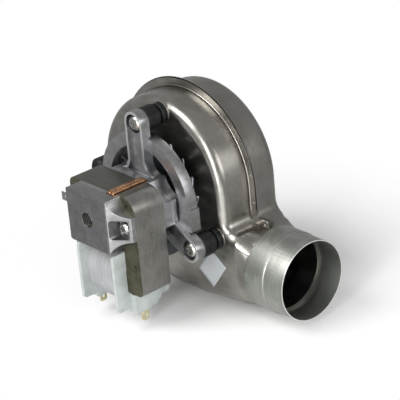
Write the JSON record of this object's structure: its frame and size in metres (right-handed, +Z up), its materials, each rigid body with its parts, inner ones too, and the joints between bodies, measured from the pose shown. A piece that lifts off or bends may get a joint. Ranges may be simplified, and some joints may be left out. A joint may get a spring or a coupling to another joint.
{
  "type": "boiler fan",
  "caption": "Boiler exhaust fan: open-frame motor on rubber mounts drives a bladed impeller in a drawn spiral steel housing with a round outlet collar.",
  "frame": {"origin": "middle of the inlet, on the flat back face of the scroll, which is also the centre of the circle of fixing holes and lies on the shaft's axis", "axes": "+Y along the shaft, out of the inlet and away from the motor; +X toward the outlet; +Z up, away from the outlet's level"},
  "size_m": [0.1966, 0.1344, 0.1598],
  "materials": {
    "scroll_steel": "polished",
    "collar_steel": "satin",
    "zinc_steel": "satin",
    "shaft_steel": "ground",
    "lamination_steel": "dull",
    "cast_aluminium": "matte cast",
    "wheel_aluminium": "satin",
    "copper": "dull",
    "copper_wire": "varnished",
    "tinned_brass": "satin",
    "sintered_bronze": "matte",
    "white_nylon": "satin",
    "white_tape": "matte",
    "felt": "matte",
    "black_rubber": "matte"
  },
  "bodies": {
    "housing": {"front_shell": "scroll_steel", "rear_shell": "scroll_steel", "outlet_collar": "collar_steel", "rear_nuts": "zinc_steel", "mount_nuts": "zinc_steel", "mount_screws": "zinc_steel", "mount_sleeves": "zinc_steel", "mount_grommets": "black_rubber", "rubber_mounts": "black_rubber", "stator_frame": "lamination_steel", "coil_core": "lamination_steel", "shading_rings": "copper", "bobbin": "white_nylon", "winding": "copper_wire", "coil_tape": "white_tape", "terminals": "tinned_brass", "front_bracket": "cast_aluminium", "rear_bracket": "cast_aluminium", "bracket_screws": "zinc_steel", "earth_tab": "tinned_brass", "front_bearing": "sintered_bronze", "rear_bearing": "sintered_bronze", "front_retainer": "zinc_steel", "rear_retainer": "zinc_steel", "front_felt": "felt", "rear_felt": "felt", "pressure_tap": "zinc_steel", "tap_cap": "black_rubber"},
    "rotor": {"shaft": "shaft_steel", "thrust_washers": "white_nylon", "rotor_core": "lamination_steel", "rotor_cage": "cast_aluminium", "cooling_wheel": "wheel_aluminium", "cooling_hub": "sintered_bronze", "impeller_plate": "wheel_aluminium", "impeller_blades": "wheel_aluminium", "impeller_ring": "wheel_aluminium", "impeller_hub": "wheel_aluminium", "impeller_nut": "zinc_steel"}
  },
  "joints": [
    {"name": "shaft_spin", "type": "hinge", "parent": "housing", "child": "rotor", "pos_m": [0, -0.06, 0], "axis": [0, 1, 0], "continuous": true}
  ]
}
